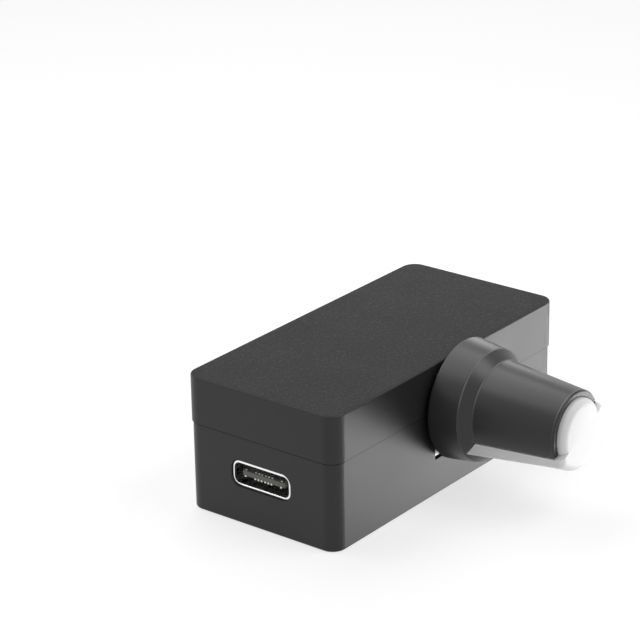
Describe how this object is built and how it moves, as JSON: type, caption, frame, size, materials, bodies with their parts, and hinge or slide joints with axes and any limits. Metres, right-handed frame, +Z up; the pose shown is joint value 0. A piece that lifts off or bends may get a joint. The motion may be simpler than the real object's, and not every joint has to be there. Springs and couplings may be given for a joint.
{
  "type": "pc fan controller hub",
  "caption": "Small two-shell box with a USB-C socket, a fan header and a skirted knob that turns to set the fans' speed.",
  "frame": {"origin": "centre of the case's flat underside", "axes": "+X along the case from the USB-C end to the fan header end, -Y out of the face that carries the knob, +Z up"},
  "size_m": [0.0468, 0.041, 0.0193],
  "materials": {
    "case_plastic": "fine spark-eroded texture",
    "knob_plastic": "satin",
    "white_plastic": "smooth satin",
    "socket_steel": "nickel plated",
    "screw_steel": "zinc plated",
    "shaft_metal": "turned",
    "can_metal": "satin",
    "gold_plate": "plated",
    "board": "solder mask",
    "black_plastic": "moulded",
    "header_plastic": "moulded nylon",
    "pot_plastic": "moulded",
    "resin_board": "pressed",
    "ferrite": "sintered",
    "ceramic": "fired"
  },
  "bodies": {
    "case": {"lower_shell": "case_plastic", "upper_shell": "case_plastic", "case_screws": "screw_steel", "circuit_board": "board", "usb_shell": "socket_steel", "usb_tongue": "black_plastic", "usb_contacts": "gold_plate", "fan_header_body": "header_plastic", "fan_header_pins": "gold_plate", "pot_plate": "socket_steel", "pot_bushing": "socket_steel", "pot_housing": "pot_plastic", "pot_track": "resin_board", "pot_terminals": "socket_steel", "boost_inductor": "ferrite", "boost_chip": "black_plastic", "control_chip": "black_plastic", "rectifier_diode": "black_plastic", "input_capacitor": "can_metal", "output_capacitor": "can_metal", "resettable_fuse": "resin_board", "ceramic_capacitors": "ceramic", "chip_resistors": "black_plastic"},
    "knob": {"pot_shaft": "shaft_metal", "pot_rotor": "header_plastic", "pot_wiper": "gold_plate", "knob_body": "knob_plastic", "knob_core": "white_plastic"}
  },
  "joints": [
    {"name": "knob_turn", "type": "hinge", "parent": "case", "child": "knob", "pos_m": [0.002, -0.0115, 0.0116], "axis": [0, 1, 0], "range_deg": [-300, 0]}
  ]
}
